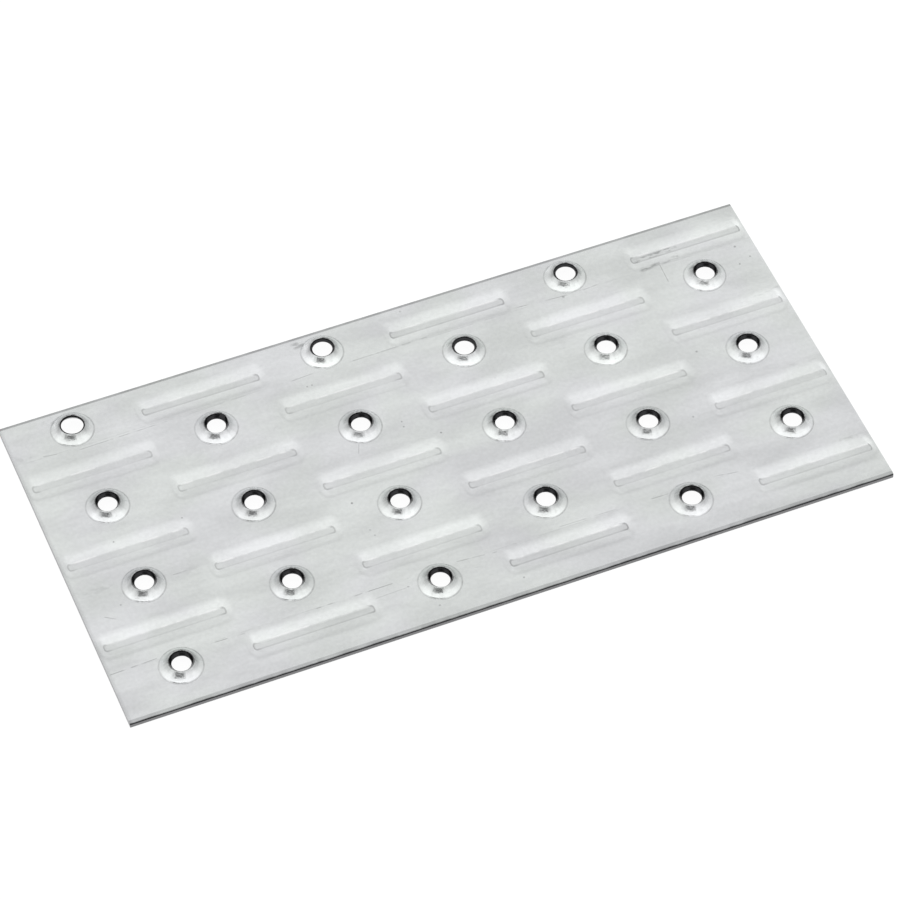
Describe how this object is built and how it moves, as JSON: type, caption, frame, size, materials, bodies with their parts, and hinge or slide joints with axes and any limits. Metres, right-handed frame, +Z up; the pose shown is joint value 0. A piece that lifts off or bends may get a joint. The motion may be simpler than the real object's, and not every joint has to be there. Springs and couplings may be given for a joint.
{
  "type": "truss nail plate",
  "caption": "Flat galvanised steel nail plate for timber joints, with staggered raised nail holes and short pressed stiffening grooves.",
  "frame": {"origin": "middle of the plate's outline, on the plane of the ridges' undersides that the plate rests on", "axes": "+X along the long side, in the direction of the grooves; +Y across the plate towards the edge with the narrow margin; +Z up, the way the nail dimples rise"},
  "size_m": [0.1524, 0.0742, 0.0032],
  "materials": {
    "galvanised_steel": "hot-dip galvanised sheet, matte silver grey with soft mottling, bright on the pressed slopes"
  },
  "bodies": {
    "root": {"nail_plate": "galvanised_steel"}
  },
  "joints": []
}
